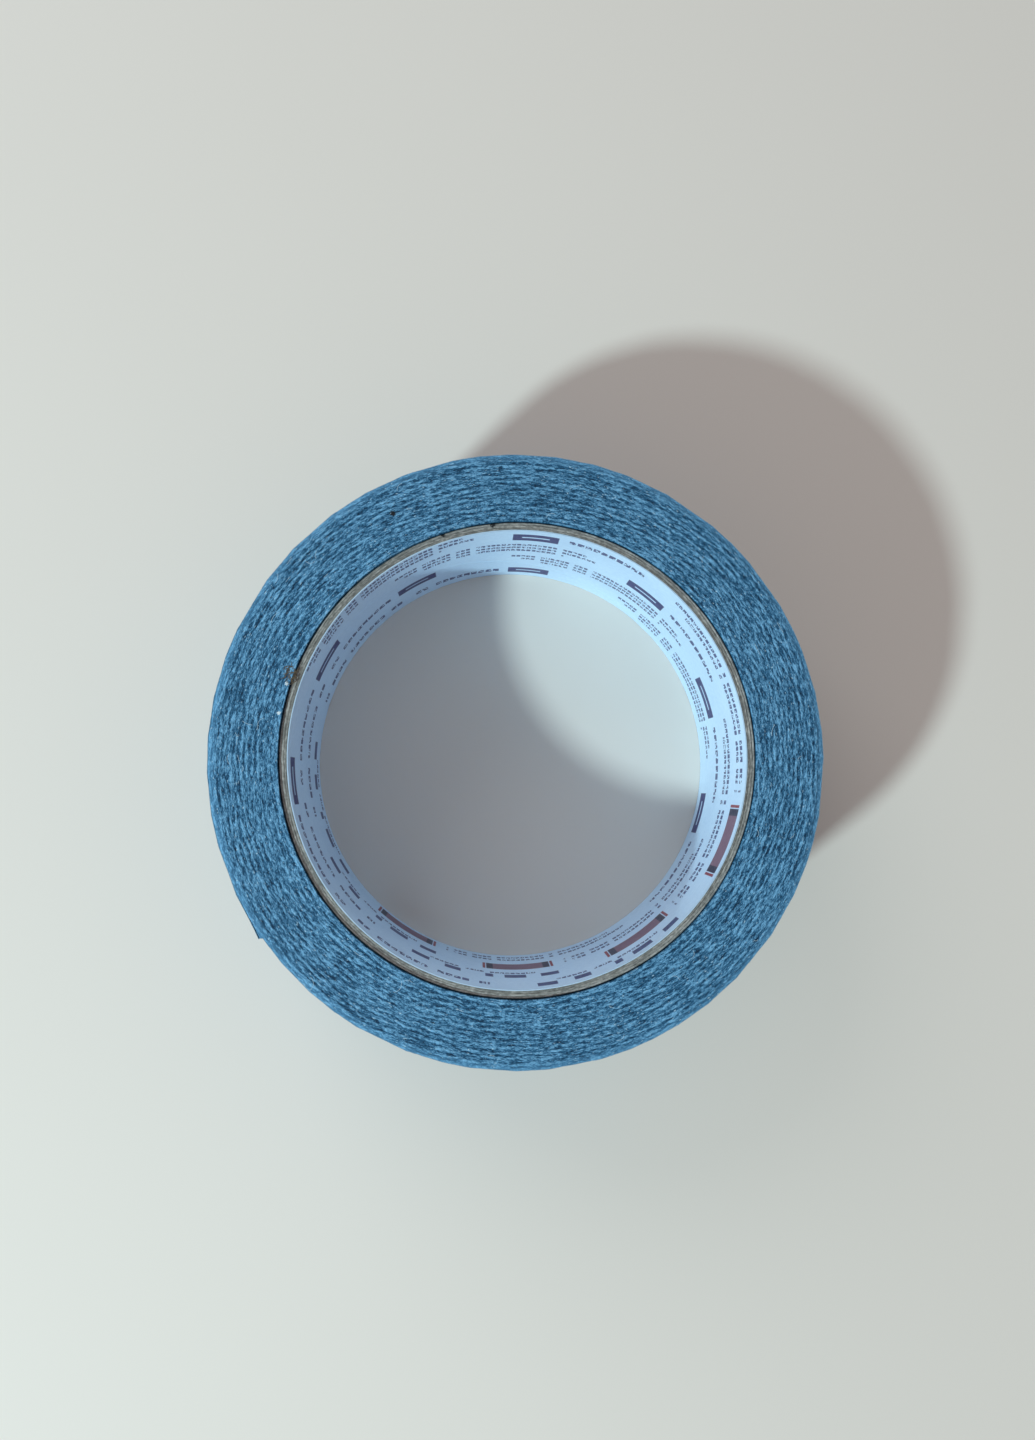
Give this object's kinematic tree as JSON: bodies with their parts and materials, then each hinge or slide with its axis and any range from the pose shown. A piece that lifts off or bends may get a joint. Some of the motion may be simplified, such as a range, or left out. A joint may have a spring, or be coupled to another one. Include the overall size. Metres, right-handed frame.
{
  "type": "masking tape roll",
  "caption": "Roll of blue crepe masking tape on a spiral-wound paper core with a printed liner; the loose end peels off the roll.",
  "frame": {"origin": "centre of the core's bore at the roll's lower face", "axes": "+Z along the bore, up from the face the roll rests on; the free end of the tape is at 215 degrees about +Z from +X"},
  "size_m": [0.1025, 0.1025, 0.036],
  "materials": {
    "printed_liner": "satin",
    "chipboard": "matte",
    "tape_laps": "matte",
    "crepe_backing": "matte",
    "tape_adhesive": "satin"
  },
  "bodies": {
    "roll": {"bore_liner": "printed_liner", "core_inner_ply": "chipboard", "core_middle_ply": "chipboard", "core_outer_ply": "chipboard", "wound_laps": "tape_laps", "outer_lap_backing": "crepe_backing", "outer_lap_adhesive": "tape_adhesive"},
    "tail_1": {"tail_backing_1": "crepe_backing", "tail_adhesive_1": "tape_adhesive"},
    "tail_2": {"tail_backing_2": "crepe_backing", "tail_adhesive_2": "tape_adhesive"},
    "tail_3": {"tail_backing_3": "crepe_backing", "tail_adhesive_3": "tape_adhesive"},
    "tail_4": {"tail_backing_4": "crepe_backing", "tail_adhesive_4": "tape_adhesive"}
  },
  "joints": [
    {"name": "free_end_peel", "type": "hinge", "parent": "roll", "child": "tail_1", "pos_m": [-0.0465, 0.02168, 0.018], "axis": [0, 0, -1], "range_deg": [0, 120]},
    {"name": "free_end_bend_2", "type": "hinge", "parent": "tail_1", "child": "tail_2", "pos_m": [-0.05053, 0.00891, 0.018], "axis": [0, 0, -1], "range_deg": [0, 60]},
    {"name": "free_end_bend_3", "type": "hinge", "parent": "tail_2", "child": "tail_3", "pos_m": [-0.05112, -0.00447, 0.018], "axis": [0, 0, -1], "range_deg": [0, 60]},
    {"name": "free_end_bend_4", "type": "hinge", "parent": "tail_3", "child": "tail_4", "pos_m": [-0.04823, -0.01755, 0.018], "axis": [0, 0, -1], "range_deg": [0, 60]}
  ]
}
